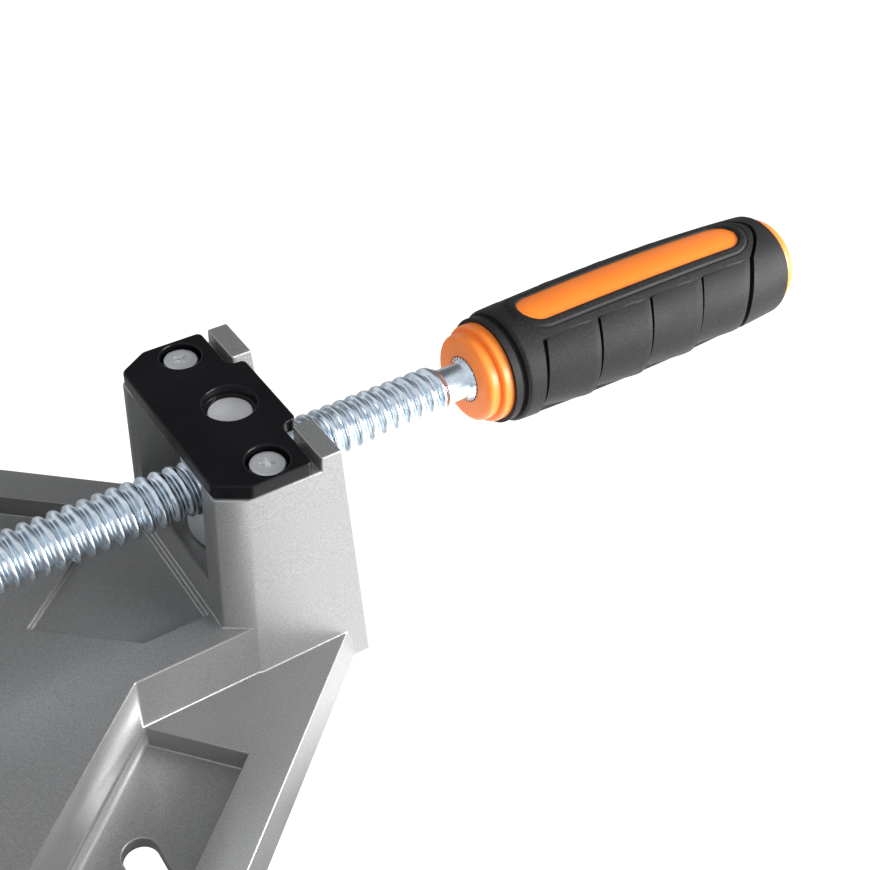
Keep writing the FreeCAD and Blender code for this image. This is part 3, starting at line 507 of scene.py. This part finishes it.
def make_core():
    """The orange rings in front of the grip, and the island that fills its window."""
    outline = [(0.05, 6.63), (0.05, 12.5), (3.9, 12.5), (3.9, 14.0), (7.05, 14.0), (7.05, 6.63)]
    outline = rounded(outline, 1.8, [1], 7)
    outline = rounded(outline, 0.9, [len(outline) - 3], 5)
    bm = bmesh.new()
    turned(bm, outline + [outline[0]], 128)
    before = set(bm.verts)
    bmesh.ops.create_grid(bm, x_segments=90, y_segments=18, size=1.0)
    half = WINDOW_HALF + ISLAND_REACH
    for vert in [v for v in bm.verts if v not in before]:
        share = (vert.co.x + 1) / 2
        s = WINDOW_FRONT - ISLAND_REACH + (WINDOW_REAR - WINDOW_FRONT + 2 * ISLAND_REACH) * share
        nearest = min(max(s, WINDOW_FRONT + WINDOW_HALF), WINDOW_REAR - WINDOW_HALF)
        turn = vert.co.y * math.sqrt(max(0.04, half ** 2 - (s - nearest) ** 2)) / ACROSS_RADIUS
        radius = swell(s) - 0.55
        vert.co = (s, radius * math.sin(turn), radius * math.cos(turn))
    top = [f for f in bm.faces if f.verts[0] not in before]
    grown = bmesh.ops.extrude_face_region(bm, geom=top, use_keep_orig=True)
    for vert in [v for v in grown["geom"] if isinstance(v, bmesh.types.BMVert)]:
        shrink = ISLAND_FLOOR / math.hypot(vert.co.y, vert.co.z)
        vert.co.y *= shrink
        vert.co.z *= shrink
    bmesh.ops.recalc_face_normals(bm, faces=bm.faces)
    bmesh.ops.translate(bm, vec=(HANDLE_START, 0, 0), verts=bm.verts)
    return finished(at_nut(bm), "orange_core", ORANGE, "spindle", "handle_core", sharp=45.0)


def make_cap():
    outline = [(GRIP_REAR - 0.3, 0.0), (GRIP_REAR - 0.3, 14.15), (GRIP_REAR, 14.15)]
    for step in range(1, 25):
        turn = math.radians(90 * step / 24)
        outline.append((GRIP_REAR + 5.35 * math.sin(turn), 14.15 * math.sqrt(max(0.0, math.cos(turn)))))
    outline[-1] = (outline[-1][0], 0.0)
    bm = bmesh.new()
    turned(bm, outline, 128)
    bmesh.ops.translate(bm, vec=(HANDLE_START, 0, 0), verts=bm.verts)
    return finished(at_nut(bm), "orange_end_cap", ORANGE, "spindle", "handle_cap")


# The pieces
bevelled_node("body_casting", "cast_body", SILVER, "body", 0.5, leave=tight_corner)
bevelled_node("cover_plate", "black_cover_plate", BLACK, "body", 0.55)
bevelled_node("swivel_nut", "grey_swivel_nut", TURNED_STEEL, "nut", 0.4)
bevelled_node("moving_jaw", "cast_jaw", SILVER, "jaw", 0.45)
bevelled_node("jaw_plate", "black_jaw_plate", BLACK, "jaw", 0.35)
bevelled_node("jaw_swivel_block", "grey_jaw_block", TURNED_STEEL, "carriage", 0.3)
make_screw_pair("cover_screws", "cover_screw_pair", "body", 2.5, 2.0, (0.5, 1.15))
make_screw_pair("jaw_plate_screws", "jaw_screw_pair", "jaw", 2.0, 1.9, (0.9, 0.3))
make_spindle()
make_core()
make_grip()
make_cap()
for node, material in (("thrust_washer", SCREW_ZINC), ("nose_clip", TURNED_STEEL)):
    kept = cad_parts[node]
    kept.material_slots[0].link = "OBJECT"
    kept.material_slots[0].material = material


# Stage: floor, light and camera, in metres
FLOOR_GAP = 0.0002
CAMERA_ANGLES = (-35.89, 41.10, 2.94)
CAMERA_PLACE = (61.3, -226.7, 279.7)
SENSOR_WIDTH, FOCAL_PIXELS, PHOTO_WIDTH = 36.0, 1329.8, 870.0
# The direction that a surface facing up mirrors to the camera, which is dark in the world
DARK_DIRECTION = (0.442, 0.611, 0.657)


def make_floor():
    """A floor that the camera sees white, and that lights the part dimly in front and brightly at the right."""
    bm = bmesh.new()
    bmesh.ops.create_grid(bm, x_segments=1, y_segments=1, size=4.0)
    bmesh.ops.translate(bm, vec=(0, 0, -FLOOR_GAP), verts=bm.verts)
    mesh = bpy.data.meshes.new("studio_floor")
    bm.to_mesh(mesh)
    bm.free()
    floor = bpy.data.objects.new("studio_floor", mesh)
    bpy.context.scene.collection.objects.link(floor)
    material = bpy.data.materials.new("pale_floor")
    material.use_nodes = True
    tree = material.node_tree
    shader = tree.nodes["Principled BSDF"]
    shader.inputs["Base Color"].default_value = (0.1, 0.1, 0.1, 1.0)
    shader.inputs["Roughness"].default_value = 0.9
    shader.inputs["Emission Strength"].default_value = 1.8
    path = tree.nodes.new("ShaderNodeLightPath")
    place = tree.nodes.new("ShaderNodeTexCoord")
    axes = tree.nodes.new("ShaderNodeSeparateXYZ")
    tree.links.new(place.outputs["Object"], axes.inputs["Vector"])
    bounce = blend(tree, span(tree, axes.outputs["X"], 0.145, 0.172), (0.08, 0.08, 0.08), (1.0, 1.0, 1.0))
    bounce = blend(tree, span(tree, axes.outputs["Y"], 0.0, 0.08), bounce, (0.2, 0.2, 0.2))
    seen = blend(tree, path.outputs["Is Camera Ray"], bounce, (0.6, 0.6, 0.6))
    tree.links.new(seen, shader.inputs["Emission Color"])
    mesh.materials.append(material)


def make_light(name, place, target, size, power):
    data = bpy.data.lights.new(name, "AREA")
    data.shape = "RECTANGLE"
    data.size, data.size_y = size
    data.energy = power
    lamp = bpy.data.objects.new(name, data)
    bpy.context.scene.collection.objects.link(lamp)
    lamp.location = place
    lamp.rotation_euler = (Vector(target) - Vector(place)).to_track_quat("-Z", "Y").to_euler()


def make_camera():
    azimuth, elevation, roll = (math.radians(a) for a in CAMERA_ANGLES)
    back = Vector((math.sin(azimuth) * math.cos(elevation), -math.cos(azimuth) * math.cos(elevation),
                   math.sin(elevation)))
    right = (-back).cross(Vector((0, 0, 1))).normalized()
    up = right.cross(-back)
    across = right * math.cos(roll) + up * math.sin(roll)
    upward = up * math.cos(roll) - right * math.sin(roll)
    data = bpy.data.cameras.new("photo_camera")
    data.sensor_width = SENSOR_WIDTH
    data.sensor_fit = "HORIZONTAL"
    data.lens = FOCAL_PIXELS * SENSOR_WIDTH / PHOTO_WIDTH
    data.clip_start = 0.01
    camera = bpy.data.objects.new("photo_camera", data)
    bpy.context.scene.collection.objects.link(camera)
    place = Vector(CAMERA_PLACE) * MM
    camera.matrix_world = Matrix((
        (across.x, upward.x, back.x, place.x), (across.y, upward.y, back.y, place.y),
        (across.z, upward.z, back.z, place.z), (0, 0, 0, 1)))
    bpy.context.scene.camera = camera


make_floor()
make_light("right_softbox", (0.95, -0.75, 0.30), (0.15, 0.0, 0.04), (0.8, 0.5), 28.0)
make_camera()
world = bpy.data.worlds.new("studio")
world.use_nodes = True
sky = world.node_tree.nodes["Background"]
sky.inputs["Color"].default_value = (0.95, 0.97, 1.0, 1.0)
direction = world.node_tree.nodes.new("ShaderNodeTexCoord")
mirrored = world.node_tree.nodes.new("ShaderNodeVectorMath")
mirrored.operation = "DOT_PRODUCT"
mirrored.inputs[1].default_value = DARK_DIRECTION
world.node_tree.links.new(direction.outputs["Generated"], mirrored.inputs[0])
world.node_tree.links.new(span(world.node_tree, mirrored.outputs["Value"], 0.70, 0.93, 0.9, 0.2),
                          sky.inputs["Strength"])
bpy.context.scene.world = world
bpy.context.scene.view_settings.view_transform = "Standard"
